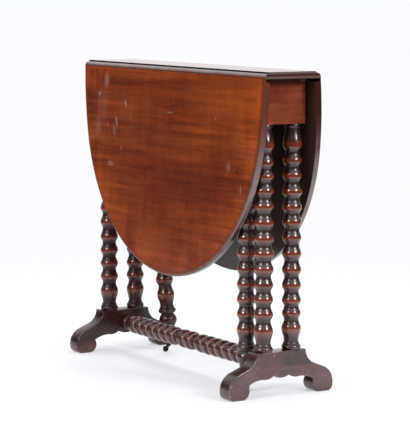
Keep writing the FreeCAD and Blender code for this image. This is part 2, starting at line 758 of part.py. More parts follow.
def make_stretcher():
    body = doc.addObject("PartDesign::Body", "stretcher")
    groove, half = "stretcher_groove_radius", "centre_bead_width / 2"
    rise = "stretcher_bead_radius - stretcher_groove_radius"
    hollow = bow("reel_width - 2 * reel_lip", "stretcher_groove_radius - reel_radius")
    reel_end = f"{half} + reel_width"
    revolve(body, [
        (f"-({reel_end})", groove),
        (f"-({reel_end}) + reel_lip", groove, hollow, 1),
        (f"-({half}) - reel_lip", groove),
        (f"-({half})", groove, bow("centre_bead_width", rise), -1),
        (half, groove),
        (f"{half} + reel_lip", groove, hollow, 1),
        (f"{reel_end} - reel_lip", groove),
        (reel_end, groove),
    ], "H_Axis")
    for end in (-1, 1):
        first, second = sorted_pair("0", end, stretcher_start, f"{stretcher_start} + {stretcher_pitch}")
        bead_width = f"({stretcher_pitch} - stretcher_groove_width)"
        bead = revolve(body, [
            (first, groove),
            (f"{first} + stretcher_groove_width / 2", groove, bow(bead_width, rise), -1),
            (f"{second} - stretcher_groove_width / 2", groove),
            (second, groove),
        ], "H_Axis")
        repeat(body, bead, "X_Axis", stretcher_pitch, "stretcher_bead_count", backward=end < 0)
    neck, bulge = "collar_neck_radius", "collar_bulge"
    for end in (-1, 1):
        middle = f"{foot_in} - collar_width / 2"
        profile = [
            (f"{foot_in} - collar_width", neck),
            (f"{middle} - collar_bulge_width / 2", neck, bow("collar_bulge_width", bulge), -end),
            (f"{middle} + collar_bulge_width / 2", neck),
            (foot_in, neck),
            (foot_in, "stretcher_tenon_radius"),
            (f"{foot_in} + stretcher_tenon_length", "stretcher_tenon_radius"),
        ]
        if end < 0:
            profile = [(f"-({step[0]})", *step[1:]) for step in profile]
        revolve(body, profile, "H_Axis")
    place(body, "0", "0", "stretcher_height")
    node(body, "stretcher")


top_tools, leaf_tools = make_hinges()
knuckle_screws = {name: make_knuckle_screws(name, side) for name, side in sides.items()}
rail_ends, top_fixings = make_inner_rails()
make_top(top_tools + [top_fixings])
for name, side in sides.items():
    make_leaf(name, side, leaf_tools[name])
make_aprons(rail_ends)
make_columns()
make_feet()
make_stretcher()
for name, side in sides.items():
    make_gate(name, side)
doc.recompute()

for item in doc.Objects:
    if "Invalid" in item.State or "Error" in item.State:
        raise RuntimeError(f"{item.Label} did not build: {item.State}")
os.makedirs("parts", exist_ok=True)
for item in nodes:
    if item.Shape.isNull() or not item.Shape.isValid():
        raise RuntimeError(f"{item.Label} has no valid shape")
    item.Shape.exportStep(f"parts/{item.Label}.step")
print(f"{len(nodes)} nodes written")
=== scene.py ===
import json
import math

import bpy
import numpy as np
from mathutils import Matrix, Vector


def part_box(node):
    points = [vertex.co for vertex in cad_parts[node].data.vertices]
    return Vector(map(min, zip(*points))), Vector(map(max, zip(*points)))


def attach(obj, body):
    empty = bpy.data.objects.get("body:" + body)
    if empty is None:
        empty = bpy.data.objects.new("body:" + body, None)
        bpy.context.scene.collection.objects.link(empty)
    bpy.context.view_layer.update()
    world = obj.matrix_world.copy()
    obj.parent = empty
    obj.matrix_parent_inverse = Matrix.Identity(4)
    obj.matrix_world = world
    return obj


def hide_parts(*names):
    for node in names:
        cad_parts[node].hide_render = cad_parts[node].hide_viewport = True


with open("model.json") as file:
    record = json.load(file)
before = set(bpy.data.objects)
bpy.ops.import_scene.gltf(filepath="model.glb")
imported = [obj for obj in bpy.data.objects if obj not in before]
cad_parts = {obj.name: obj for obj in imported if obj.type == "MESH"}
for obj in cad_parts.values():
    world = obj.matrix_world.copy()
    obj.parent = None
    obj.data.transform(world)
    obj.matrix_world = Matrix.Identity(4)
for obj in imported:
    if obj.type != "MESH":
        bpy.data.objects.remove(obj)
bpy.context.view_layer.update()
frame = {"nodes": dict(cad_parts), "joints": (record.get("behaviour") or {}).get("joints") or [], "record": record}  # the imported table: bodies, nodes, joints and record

mm = 0.001
scene = bpy.context.scene
joints = {joint["name"]: joint for joint in frame["joints"]}
slotOf = {part["node"]: part["material_slot"] for part in frame["record"]["subparts"]}
bodyOf = {node: body for body, nodes in frame["record"]["behaviour"]["bodies"].items() for node in nodes}
print("frame loaded:", len(frame["nodes"]), "nodes")


# camera, fitted to the photograph

viewSet = {
    "place": (4.11895, -2.52192, 0.90788),
    "azimuth": 58.256,
    "pitch": 6.523,
    "roll": 0.182,
    "focalPixels": 2085.06,
    "longSidePixels": 439,
    "sensor": 36.0,
    "farthest": 100,
}


def heading(azimuth, elevation):
    # unit vector from degrees: azimuth turns from -Y towards +X, elevation rises from the floor
    a, e = math.radians(azimuth), math.radians(elevation)
    return Vector((math.sin(a) * math.cos(e), -math.cos(a) * math.cos(e), math.sin(e)))


def makeCamera():
    azimuth, roll = math.radians(viewSet["azimuth"]), math.radians(viewSet["roll"])
    back = heading(viewSet["azimuth"], viewSet["pitch"])
    level = Vector((math.cos(azimuth), math.sin(azimuth), 0))
    right = math.cos(roll) * level + math.sin(roll) * back.cross(level)
    camera = bpy.data.objects.new("photoCamera", bpy.data.cameras.new("photoCamera"))
    camera.data.sensor_width = viewSet["sensor"]
    camera.data.lens = viewSet["focalPixels"] * viewSet["sensor"] / viewSet["longSidePixels"]
    camera.data.clip_end = viewSet["farthest"]
    turn = Matrix((right, back.cross(right), back)).transposed().to_4x4()
    camera.matrix_world = Matrix.Translation(viewSet["place"]) @ turn
    scene.collection.objects.link(camera)
    scene.camera = camera


makeCamera()
print("camera set")


# shader sums: a wire is one output socket, and + - * ** between wires and numbers add Math nodes

class Wire:
    def __init__(self, tree, socket=None):
        self.tree = tree
        self.socket = socket

    def node(self, kind, settings, sockets, out=0):
        made = self.tree.nodes.new(kind)
        for name, value in settings.items():
            if name == "stops":
                while len(made.color_ramp.elements) < len(value):
                    made.color_ramp.elements.new(1.0)
                for element, (place, colour) in zip(made.color_ramp.elements, value):
                    element.position = place
                    element.color = (*colour, 1)
            else:
                setattr(made, name, value)
        for name, value in sockets.items():
            if isinstance(value, Wire):
                self.tree.links.new(value.socket, made.inputs[name])
            else:
                made.inputs[name].default_value = value
        return Wire(self.tree, made.outputs[out]) if made.outputs else None

    def sum(self, operation, first, second):
        return self.node("ShaderNodeMath", {"operation": operation}, {0: first, 1: second})

    def __add__(self, other):
        return self.sum("ADD", self, other)

    def __radd__(self, other):
        return self.sum("ADD", other, self)

    def __sub__(self, other):
        return self.sum("SUBTRACT", self, other)

    def __rsub__(self, other):
        return self.sum("SUBTRACT", other, self)

    def __mul__(self, other):
        return self.sum("MULTIPLY", self, other)

    def __rmul__(self, other):
        return self.sum("MULTIPLY", other, self)

    def __pow__(self, other):
        return self.sum("POWER", self, other)


def newTree(owner):
    owner.use_nodes = True
    owner.node_tree.nodes.clear()
    return Wire(owner.node_tree)


def newFinish(name):
    # an empty material, its tree and its Object coordinates
    material = bpy.data.materials.new(name)
    tree = newTree(material)
    return material, tree, tree.node("ShaderNodeTexCoord", {}, {}, "Object")


def mixed(factor, first, second):
    settings = {"data_type": "RGBA"}
    return factor.node("ShaderNodeMix", settings, {0: factor, 6: first, 7: second}, 2)


def ramp(factor, stops):
    return factor.node("ShaderNodeValToRGB", {"stops": stops}, {0: factor})


def rise(value, low, high):
    # 0 below low, 1 above high, smooth between
    settings = {"interpolation_type": "SMOOTHSTEP"}
    return value.node("ShaderNodeMapRange", settings, {"Value": value, "From Min": low, "From Max": high})


def axisOf(vector, axis):
    return vector.node("ShaderNodeSeparateXYZ", {}, {0: vector}, axis)


def unsigned(value):
    return value.sum("ABSOLUTE", value, 0)


def lengthOf(vector):
    return vector.node("ShaderNodeVectorMath", {"operation": "LENGTH"}, {0: vector}, "Value")


def dotOf(vector, way):
    return vector.node("ShaderNodeVectorMath", {"operation": "DOT_PRODUCT"}, {0: vector, 1: way}, "Value")


def stretched(point, scale, turn=(0, 0, 0), shift=(0, 0, 0)):
    sockets = {"Vector": point, "Scale": scale, "Rotation": turn, "Location": shift}
    return point.node("ShaderNodeMapping", {}, sockets)


def noise(point, scale, detail, grit):
    sockets = {"Vector": point, "Scale": scale, "Detail": detail, "Roughness": grit}
    return point.node("ShaderNodeTexNoise", {}, sockets)


def bump(height, strength, distance):
    return height.node("ShaderNodeBump", {}, {"Height": height, "Strength": strength, "Distance": distance})


def surface(tree, sockets):
    shader = tree.node("ShaderNodeBsdfPrincipled", {}, sockets)
    tree.node("ShaderNodeOutputMaterial", {}, {"Surface": shader})


# studio: pale floor, soft lamps, white backdrop behind and a dim room in front

studio = {
    "floorRadius": 2.2,
    "floorRings": 12,
    "floorSides": 48,
    "floorMiddle": 0.02,  # share of the radius that one flat face covers
    "floorFade": (1.0, 2.1),
    "floorColour": (0.93, 0.94, 0.955, 1),
    "floorLift": 0.46,  # white added where the camera or a reflection sees the floor
    "floorShade": (0.55, 0.56, 0.575, 1),  # and what is left of its shadow there
    "backdropWay": (-0.845, 0.52, 0.12),
    "backdropSpread": (0.64, 0.86),
    "backdropLevel": 0.95,
    "wallLevel": 0.05,
    "ceilingLevel": 0.85,
    "ceilingFrom": (0.20, 0.65),
    "background": (0.965, 0.978, 1.0, 1),
    "aim": (0.05, 0, 0.38),
    # name, azimuth and elevation in degrees, distance, width and height in metres, watts
    "lamps": [
        ("frontLamp", 14, 25, 4.5, 1.15, 1.0, 84),
        ("sideLamp", 108, 25, 4.5, 1.05, 1.0, 88),
        ("backLamp", 235, 55, 4.5, 1.6, 1.2, 45),
    ],
}


def seenDirectly(tree):
    # 1 on rays from the camera, off polish and through glass, 0 on the light that falls on things
    rays = ("Is Camera Ray", "Is Glossy Ray", "Is Transmission Ray")
    camera, glossy, through = (tree.node("ShaderNodeLightPath", {}, {}, ray) for ray in rays)
    return camera.sum("MAXIMUM", camera.sum("MAXIMUM", camera, glossy), through)


def makeFloor():
    # disc: point(ring, turn) = radius * ring * (cos turn, sin turn)
    count, sides = studio["floorRings"], studio["floorSides"]
    rings = np.linspace(studio["floorMiddle"], 1, count)[:, None]
    turns = np.linspace(0, 2 * np.pi, sides, endpoint=False)[None, :]
    points = np.stack([rings * np.cos(turns), rings * np.sin(turns), 0 * rings * turns], -1)
    points = points.reshape(-1, 3) * studio["floorRadius"]
    faces = gridQuads(count, sides).tolist() + [list(range(sides))]
    floor = meshObject("floor", points, faces)
    material, tree, place = newFinish("paleFloor")
    fade = rise(lengthOf(place), *studio["floorFade"])
    white = {"Color": studio["background"], "Strength": studio["floorLift"]}
    lit = tree.node("ShaderNodeBsdfDiffuse", {}, {"Color": studio["floorColour"]})
    shade = tree.node("ShaderNodeBsdfDiffuse", {}, {"Color": studio["floorShade"]})
    lift = tree.node("ShaderNodeEmission", {}, white)
    shown = tree.node("ShaderNodeAddShader", {}, {0: shade, 1: lift})
    lit = tree.node("ShaderNodeMixShader", {}, {0: seenDirectly(tree), 1: lit, 2: shown})
    clear = tree.node("ShaderNodeBsdfTransparent", {}, {})
    cover = tree.node("ShaderNodeMixShader", {}, {0: fade, 1: lit, 2: clear})
    tree.node("ShaderNodeOutputMaterial", {}, {"Surface": cover})
    floor.data.materials.append(material)


def makeWorld():
    world = bpy.data.worlds.new("studioRoom")
    scene.world = world
    tree = newTree(world)
    way = tree.node("ShaderNodeTexCoord", {}, {}, "Generated")
    facing = dotOf(way, Vector(studio["backdropWay"]).normalized())
    ceiling = rise(axisOf(way, "Z"), *studio["ceilingFrom"])
    room = studio["wallLevel"] + ceiling * (studio["ceilingLevel"] - studio["wallLevel"])
    behind = rise(facing, *studio["backdropSpread"])
    level = room + behind * (studio["backdropLevel"] - room)
    camera = tree.node("ShaderNodeLightPath", {}, {}, "Is Camera Ray")
    white = camera.sum("MAXIMUM", camera, seenDirectly(tree) * behind)
    strength = white + (1 - white) * level
    light = tree.node("ShaderNodeBackground", {}, {"Color": studio["background"], "Strength": strength})
    tree.node("ShaderNodeOutputWorld", {}, {"Surface": light})


def makeLamps():
    aim = Vector(studio["aim"])
    for name, azimuth, elevation, distance, width, height, watts in studio["lamps"]:
        data = bpy.data.lights.new(name, "AREA")
        data.shape = "RECTANGLE"
        data.size = width
        data.size_y = height
        data.energy = watts
        way = heading(azimuth, elevation)
        lamp = bpy.data.objects.new(name, data)
        lamp.location = aim + way * distance
        lamp.rotation_euler = way.to_track_quat("Z", "Y").to_euler()
        scene.collection.objects.link(lamp)


# surfaces

def gridQuads(rows, columns):
    # quads of a grid of points whose columns close into a ring
    row = np.arange(rows - 1)[:, None] * columns
    here = np.arange(columns)[None, :]
    after = (here + 1) % columns
    quads = [row + here, row + after, row + columns + after, row + columns + here]
    return np.stack(quads, -1).reshape(-1, 4)


def meshObject(name, points, faces, flatFaces=0, sharpAngle=35):
    # the last few faces may stay flat, such as a board's two sides
    mesh = bpy.data.meshes.new(name)
    mesh.from_pydata(points.tolist(), [], faces)
    mesh.set_sharp_from_angle(angle=math.radians(sharpAngle))
    mesh.polygons.foreach_set("use_smooth", np.arange(len(faces)) < len(faces) - flatFaces)
    mesh.update()
    made = bpy.data.objects.new(name, mesh)
    scene.collection.objects.link(made)
    return made


def ringed(name, rings):
    # closed skin over a rows x columns x 3 array of rings, with a flat face at each end
    rows, columns = rings.shape[:2]
    faces = gridQuads(rows, columns).tolist()
    faces.append(list(range(columns))[::-1])
    faces.append(list(range((rows - 1) * columns, rows * columns)))
    return meshObject(name, rings.reshape(-1, 3), faces, 2)


def dress(piece, node, material):
    # stands for a node: takes the given material, rides the node's body and hides the node
    piece.data.materials.append(material)
    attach(piece, bodyOf[node])
    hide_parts(node)


def revolved(name, profile, origin, axis, around=72):
    # turning: point(k, u) = origin + along_k * axis + radius_k * (cos u * side + sin u * front)
    axis = np.array(axis, float) / np.linalg.norm(axis)
    side = np.cross(axis, (0, 1, 0) if abs(axis[1]) < 0.9 else (1, 0, 0))
    side = side / np.linalg.norm(side)
    front = np.cross(axis, side)
    turn = np.linspace(0, 2 * np.pi, around, endpoint=False)
    circle = np.cos(turn)[:, None] * side + np.sin(turn)[:, None] * front
    along, radius = profile[:, 0, None, None] * mm, profile[:, 1, None, None] * mm
    return ringed(name, np.array(origin) + along * axis + radius * circle)


def rubbedBy(piece, share):
    # per-ring share, 0 in the hollows and 1 on the crests: wear, and on turnings also painted light
    columns = len(piece.data.vertices) // len(share)
    wear = piece.data.attributes.new("rubbed", "FLOAT", "POINT")
    wear.data.foreach_set("value", np.repeat(share, columns).astype(np.float32))


def swell(start, end, r0, r1, steps=9):
    # S-curve r0 to r1: share 2t^2 up to half way, then 1 - 2(1 - t)^2
    t = np.linspace(0, 1, steps)
    share = np.where(t < 0.5, 2 * t**2, 1 - 2 * (1 - t) ** 2)
    return np.column_stack([start + (end - start) * t, r0 + (r1 - r0) * share])


def bowed(start, end, radius, bulge, steps=11, fullness=2.0):
    # bow over a straight base: radius + bulge * (1 - |2t - 1|^fullness)
    t = np.linspace(0, 1, steps)
    return np.column_stack([start + (end - start) * t, radius + bulge * (1 - np.abs(2 * t - 1) ** fullness)])


# finishes

topLook = {
    "midTone": 0.49,
    "stops": [
        (0.16, (0.075, 0.0085, 0.0020)),
        (0.38, (0.150, 0.0195, 0.0035)),
        (0.52, (0.210, 0.0300, 0.0050)),
        (0.68, (0.300, 0.0490, 0.0085)),
        (0.92, (0.440, 0.0940, 0.0200)),
    ],
    # figure of the wood: stretch per metre, turn, noise detail and grit, share in the tone
    "layers": {
        "bands": ((0.7, 9, 9), (0, 0.03, 0), 4.0, 0.55, 0.95),
        "streaks": ((3.2, 75, 75), (0, 0.03, 0), 5.0, 0.6, 0.75),
        "fibre": ((16, 420, 420), (0, 0.03, 0), 2.0, 0.5, 0.35),
        "cross": ((46, 2.5, 7), (0, 0, 0), 2.0, 0.5, 0.28),
    },
    "cloud": (7.0, 4.0, 0.6),  # noise scale, detail and grit, as in the other finishes
    "cloudShare": 0.30,
    "rimJoin": (0.14, 0.20),  # metres under the hinge pin where a leaf's side arcs give way to its nose
    "rimWidth": (0.004, 0.12),
    "rimPatches": (0.25, 0.65),
    "rimLift": 0.24,
    "grimeWidth": (0.003, 0.015),
    "grimeShare": 0.55,
    "pores": ((60, 1300, 1300), (0, 0.03, 0), 1.0, 0.5),
    "poreFrom": (0.63, 0.72),
    "poreShare": 0.5,
    "faceTurn": (0.60, 0.93),  # how squarely a face looks outwards to count as outer or inner
    "faceStep": 0.0004,
    "rough": 0.20,
    "cloudRough": 0.14,
    "poreRough": 0.10,
    "insideRough": 0.30,
    "fibreRelief": 0.4,
    "cloudRelief": 1.5,
    "relief": (0.02, 0.002),  # strength, and depth in metres
    "edgeCoat": 0.8,
    "insideCoat": 0.3,
    "shine": {"IOR": 1.34, "Coat Roughness": 0.12},
    "inside": (0.052, 0.0260, 0.0200, 1),
    "pore": (0.030, 0.0070, 0.0035, 1),
    "pale": (0.42, 0.25, 0.18, 1),
    "dark": (0.05, 0.016, 0.008, 1),
    "glow": (0.44, 0.088, 0.016, 1),
    # old knocks and scuffs on the hanging leaf, in millimetres and degrees:
    # x, z, half width, half length, lean, strength, tint
    "marks": [
        (-287, 671, 17, 28, 4, 0.48, "pale"),
        (-321, 637, 7, 9, 8, 1.0, "pale"),
        (-193, 619, 5, 15, -14, 0.85, "pale"),
        (-236, 572, 8, 19, -10, 0.75, "pale"),
        (-247, 552, 10, 18, -8, 0.50, "pale"),
        (-279, 562, 6, 7, 0, 0.55, "pale"),
        (-326, 557, 22, 28, 6, 0.32, "pale"),
        (-306, 609, 36, 64, 0, 0.16, "pale"),
        (-213, 511, 6, 7, 0, 0.55, "pale"),
        (267, 502, 11, 17, 5, 0.36, "pale"),
        (318, 456, 5, 15, 0, 0.50, "pale"),
        (-262, 471, 22, 10, 0, 0.40, "pale"),
        (11, 608, 18, 3, 2, 0.50, "pale"),
        (210, 605, 5, 6, 0, 0.50, "pale"),
        (302, 493, 8, 8, 0, 0.85, "dark"),
        (-251, 700, 6, 5, 0, 0.90, "dark"),
        (296, 702, 7, 5, 0, 0.90, "dark"),
        (97, 540, 26, 40, 0, 0.34, "dark"),
        (60, 452, 330, 90, 1, 0.30, "dark"),
        (-220, 550, 240, 75, 2, 0.34, "dark"),
        (-20, 555, 190, 60, 1, 0.42, "dark"),
        (240, 535, 150, 60, 0, 0.24, "dark"),
        (-380, 600, 60, 70, 0, 0.30, "dark"),
        (388, 655, 34, 80, 0, 0.60, "glow"),
        (-396, 682, 34, 50, 0, 0.55, "glow"),
        (230, 648, 240, 90, -2, 0.34, "glow"),
        (-200, 692, 190, 26, 0, 0.30, "glow"),
        (-70, 315, 150, 62, 0, 0.32, "glow"),
    ],
    "markFade": (0.2, 1.0),
    "markGrit": (150.0, 3.0, 0.6),
    "markPatches": (0.25, 0.5),
    "markThrough": 100,  # metres across the leaf, so that only x and z count
}


def leafRim(place):
    # metres in from the leaf's oval: its side arcs, then the nose arc below the place where they join
    half, reach, flank, nose = (size * mm for size in leafArcs())
    x = axisOf(place, "X")
    down = joints["near_leaf_hinge"]["pos_m"][2] - axisOf(place, "Z")
    fromFlank = flank - ((unsigned(x) + (flank - half)) ** 2 + down**2) ** 0.5
    fromNose = nose - (x**2 + (down - (reach - nose)) ** 2) ** 0.5
    return fromFlank + (fromNose - fromFlank) * rise(down, *topLook["rimJoin"])


def topRim(place):
    # metres in from the ends of the fixed top
    return leafSet["halfLength"] * mm - unsigned(axisOf(place, "X"))


edgeLook = {
    "stain": (0.042, 0.0105, 0.0080, 1),
    "nearStain": (0.140, 0.0370, 0.0210, 1),
    "longStain": (0.125, 0.0350, 0.0260, 1),
    "endStain": (0.060, 0.0170, 0.0130, 1),
    # painted highlight: the pale lip low on the ends of the fixed top
    "lip": (0.145, 0.0880, 0.0800, 1),
    "worn": (0.260, 0.1900, 0.1800, 1),
    # painted shade under the end lip and in the step over each rule joint
    "paintedShade": (0.012, 0.0080, 0.0080, 1),
    # leaves, places in metres
    "nearSide": (-0.02, 0.02),
    "redFrom": (-0.1, 0.1),
    "redAbove": (0.42, 0.60),
    "flatInner": (-0.0014, 0.0002),
    "flatOuter": (0.0062, 0.0078),
    "flatBelow": (0.36, 0.43),
    "wornBelow": (0.42, 0.64),
    "wornFrom": (0.02, 0.30),
    "wornShare": 0.8,
    "flatKept": 0.7,
    "leafScuffs": (24.0, 3.0, 0.6),
    "leafPatches": (0.25, 0.55),
    # fixed top, heights in metres
    "endTurn": (0.30, 0.60),
    "roundAbove": (0.7030, 0.7055),
    "roundShare": 0.55,
    "roundMore": 0.4,
    "topScuffs": (26.0, 3.0, 0.6),
    "topPatches": (0.35, 0.60),
    "lipHighlightBelow": (0.7045, 0.7065),
    "stepShadeAbove": (0.7103, 0.7112),
    "paintedShadeBelow": (0.6998, 0.7010),
    "paintedShadeShare": 0.85,
}


def leafEdge(place):
    # rim of a leaf: stained near the joint, scuffed pale towards the nose on the right; low on the near leaf
    # the flat of the rim, between its round and its inner arris, has kept its dark stain
    x, y, height = (axisOf(place, axis) for axis in "XYZ")
    hinge = joints["near_leaf_hinge"]
    lean = math.tan(math.radians(90 - hinge["range_deg"][1]))
    near = 1 - rise(y, *edgeLook["nearSide"])
    red = near * rise(x, *edgeLook["redFrom"]) * rise(height, *edgeLook["redAbove"])
    # distance from the hinge pin, square to the hanging near leaf
    out = hinge["pos_m"][1] - y - lean * (hinge["pos_m"][2] - height)
    flat = near * rise(out, *edgeLook["flatInner"]) * (1 - rise(out, *edgeLook["flatOuter"]))
    flat = flat * (1 - rise(height, *edgeLook["flatBelow"]))
    patches = rise(noise(place, *edgeLook["leafScuffs"]), *edgeLook["leafPatches"])
    worn = (1 - rise(height, *edgeLook["wornBelow"])) * patches * rise(x, *edgeLook["wornFrom"])
    worn = worn * (edgeLook["wornShare"] - edgeLook["flatKept"] * flat)
    return mixed(worn, mixed(red, edgeLook["stain"], edgeLook["nearStain"]), edgeLook["worn"])


def topEdge(place):
    # edge of the fixed top: long rounds rubbed pale, partly a painted reflection, a painted highlight on a
    # pale lip low on the ends, and painted shade under that lip and in the step over each rule joint
    height = axisOf(place, "Z")
    normal = place.node("ShaderNodeTexCoord", {}, {}, "Normal")
    end = rise(unsigned(axisOf(normal, "X")), *edgeLook["endTurn"])
    patches = rise(noise(place, *edgeLook["topScuffs"]), *edgeLook["topPatches"])
    # the long rounds: rubbed pale in patches, and partly a painted reflection of the grey band on the round
    worn = (1 - end) * rise(height, *edgeLook["roundAbove"])
    worn = worn * (edgeLook["roundShare"] + edgeLook["roundMore"] * patches)
    # painted highlight on the lip low on each end
    lip = end * (1 - rise(height, *edgeLook["lipHighlightBelow"]))
    # painted shade under the lip on the ends, and in the step over each rule joint
    paintedShade = end * (1 - rise(height, *edgeLook["paintedShadeBelow"])) * edgeLook["paintedShadeShare"]
    paintedShade = (1 - end) * rise(height, *edgeLook["stepShadeAbove"]) + paintedShade
    colour = mixed(end, edgeLook["longStain"], edgeLook["endStain"])
    colour = mixed(lip, colour, edgeLook["lip"])
    colour = mixed(worn, colour, edgeLook["worn"])
    return mixed(paintedShade, colour, edgeLook["paintedShade"])


def markMask(place, oval):
    # soft oval about a point of the leaf's face, broken up by noise
    x, z, width, length, lean, strength = oval
    scaled = place.node("ShaderNodeMapping", {"vector_type": "TEXTURE"}, {
        "Vector": place,
        "Location": (x * mm, 0, z * mm),
        "Rotation": (0, math.radians(lean), 0),
        "Scale": (width * mm, topLook["markThrough"], length * mm),
    })
    patches = rise(noise(place, *topLook["markGrit"]), *topLook["markPatches"])
    return (1 - rise(lengthOf(scaled), *topLook["markFade"])) * patches * strength


# outer: way the polished face looks; shift: of the figure, so that no two boards are alike
boardSet = {
    "near_leaf": {
        "outer": (0, -1, 0),
        "rim": leafRim,
        "edge": leafEdge,
        "shift": (0, 0, 0),
        "coat": 0.5,
        "faceFrom": 0.0,
        "marks": topLook["marks"],
    },
    "far_leaf": {
        "outer": (0, 1, 0),
        "rim": leafRim,
        "edge": leafEdge,
        "shift": (3.1, 0.7, 0.4),
        "coat": 0.5,
        "faceFrom": 0.0,
        "marks": [],
    },
    "fixed_top": {
        "outer": (0, 0, 1),
        "rim": topRim,
        "edge": topEdge,
        "shift": (1.7, 2.3, 0),
        "coat": 0.75,
        "faceFrom": 0.7145,
        "marks": [],
    },
}


def boardFinish(name, board):
    # polished red-brown board with its grain along X: bands, streaks, fibre, cross figure and pores on
    # the outer face, a lighter rim where the polish is rubbed with a dark line round it, stained edges
    # with painted highlight and shade on the fixed top's ends, and a dark inside
    material, tree, place = newFinish(name)
    facing = dotOf(tree.node("ShaderNodeTexCoord", {}, {}, "Normal"), board["outer"])
    layers = {}
    tone = topLook["midTone"]
    for layer, (stretch, turn, detail, grit, share) in topLook["layers"].items():
        layers[layer] = noise(stretched(place, stretch, turn, board["shift"]), 1.0, detail, grit)
        tone = tone + (layers[layer] - 0.5) * share
    cloud = noise(place, *topLook["cloud"])
    inward = board["rim"](place)
    rim = (1 - rise(inward, *topLook["rimWidth"])) * rise(cloud, *topLook["rimPatches"])
    tone = tone + (cloud - 0.5) * topLook["cloudShare"] + rim * topLook["rimLift"]
    face = ramp(tone, topLook["stops"])
    stretch, turn, detail, grit = topLook["pores"]
    pores = noise(stretched(place, stretch, turn, board["shift"]), 1.0, detail, grit)
    pores = rise(pores, *topLook["poreFrom"])
    face = mixed(pores * topLook["poreShare"], face, topLook["pore"])
    for *oval, tint in board["marks"]:
        face = mixed(markMask(place, oval), face, topLook[tint])
    grime = 1 - rise(inward, *topLook["grimeWidth"])
    face = mixed(grime * topLook["grimeShare"], face, topLook["dark"])
    low, high = board["faceFrom"], board["faceFrom"] + topLook["faceStep"]
    edge = 1 - rise(facing, *topLook["faceTurn"]) * rise(axisOf(place, "Z"), low, high)
    inside = rise(-1 * facing, *topLook["faceTurn"])
    colour = mixed(edge, face, board["edge"](place))
    colour = mixed(inside, colour, mixed(layers["streaks"], topLook["inside"], topLook["pore"]))
    rough = topLook["rough"] + topLook["cloudRough"] * cloud
    rough = rough + pores * topLook["poreRough"] + inside * topLook["insideRough"]
    skin = layers["fibre"] * topLook["fibreRelief"] + cloud * topLook["cloudRelief"]
    coat = board["coat"] + (topLook["edgeCoat"] - board["coat"]) * edge - topLook["insideCoat"] * inside
    surface(tree, {
        "Base Color": colour,
        "Roughness": rough,
        "Normal": bump(skin, *topLook["relief"]),
        "Coat Weight": coat,
        **topLook["shine"],
    })
    return material


turnedSet = {
    "grain": (4.0, 0.6),  # noise detail and grit
    "patch": (38.0, 3.0, 0.6),
    "patchWear": 0.20,
    "grainWear": 0.18,
    "bodyFrom": (0.0, 0.7),
    "crestShare": 0.75,
    "crestMore": 0.5,
    "streakFrom": (0.56, 0.8),
    "streakShare": 0.5,
    # painted reflection in the stretcher's grooves: where, which patches, and its pale colour
    "sheenLineBelow": (0.12, 0.34),
    "sheenLinePatches": (0.22, 0.48),
    "sheenLineColour": (0.46, 0.270, 0.230, 1),
    "patchRough": 0.08,
    "hollowRough": 0.16,
    "grainRelief": 0.6,
    "relief": (0.02, 0.001),
    "coatFrom": (0.15, 0.75),
}

turnedLooks = {
    "post": {
        "hollow": (0.026, 0.0068, 0.0078, 1),
        "body": (0.056, 0.0110, 0.0080, 1),
        "crest": (0.195, 0.0310, 0.0120, 1),
        "crestFrom": (0.70, 1.04),
        "grain": (90, 90, 6),
        "rough": 0.16,
        "coat": (0.35, 0.5),  # in the hollows, and how much more on the beads
        "shine": {"IOR": 1.6, "Coat Roughness": 0.15},
    },
    # the left-end posts: a darker, less glossy copy of the post finish, as painted shade
    "shadedLeftPost": {
        "hollow": (0.032, 0.0060, 0.0060, 1),
        "body": (0.042, 0.0085, 0.0068, 1),
        "crest": (0.150, 0.0220, 0.0110, 1),
        "crestFrom": (0.62, 1.04),
        "grain": (90, 90, 6),
        "rough": 0.22,
        "coat": (0.04, 0.64),
        "shine": {"IOR": 1.42, "Coat Roughness": 0.15},
    },
    "stretcher": {
        "hollow": (0.028, 0.0080, 0.0070, 1),
        "body": (0.048, 0.0105, 0.0080, 1),
        "crest": (0.080, 0.0160, 0.0105, 1),
        "crestFrom": (0.70, 1.0),
        # painted reflection: pale line in the grooves
        "sheenLine": 0.85,
        "grain": (6, 90, 90),
        "rough": 0.30,
        "coat": (0.15, 0.60),
        "shine": {"IOR": 1.42, "Coat Roughness": 0.15},
    },
}


def turnedFinish(name, look):
    # dark stain, rubbed redder along the crests, the red partly painted light: the band under each highlight
    # where the polish reflects a dark room; the grain runs along the turning
    material, tree, place = newFinish(name)
    rubbed = tree.node("ShaderNodeAttribute", {"attribute_name": "rubbed"}, {}, "Fac")
    grain = noise(stretched(place, look["grain"]), 1.0, *turnedSet["grain"])
    patch = noise(place, *turnedSet["patch"])
    uneven = rubbed + (patch - 0.5) * turnedSet["patchWear"] + (grain - 0.5) * turnedSet["grainWear"]
    # crests: wear, and painted light for the red band under each highlight
    worn = rise(uneven, *look["crestFrom"]) * (turnedSet["crestShare"] + turnedSet["crestMore"] * patch)
    streaks = rise(grain, *turnedSet["streakFrom"]) * turnedSet["streakShare"]
    colour = mixed(rise(rubbed, *turnedSet["bodyFrom"]), look["hollow"], look["body"])
    colour = mixed(worn, colour, look["crest"])
    colour = mixed(streaks, colour, look["hollow"])
    if "sheenLine" in look:  # painted reflection: a pale line in the grooves between the beads, for the sheen along each bead's edge
        sheenLine = (1 - rise(rubbed, *turnedSet["sheenLineBelow"])) * rise(patch, *turnedSet["sheenLinePatches"])
        colour = mixed(sheenLine * look["sheenLine"], colour, turnedSet["sheenLineColour"])
    rough = look["rough"] + turnedSet["patchRough"] * patch + (1 - rubbed) * turnedSet["hollowRough"]
    thin, more = look["coat"]
    surface(tree, {
        "Base Color": colour,
        "Roughness": rough,
        "Normal": bump(grain * turnedSet["grainRelief"] + patch, *turnedSet["relief"]),
        "Coat Weight": thin + more * rise(rubbed, *turnedSet["coatFrom"]),
        **look["shine"],
    })
    return material


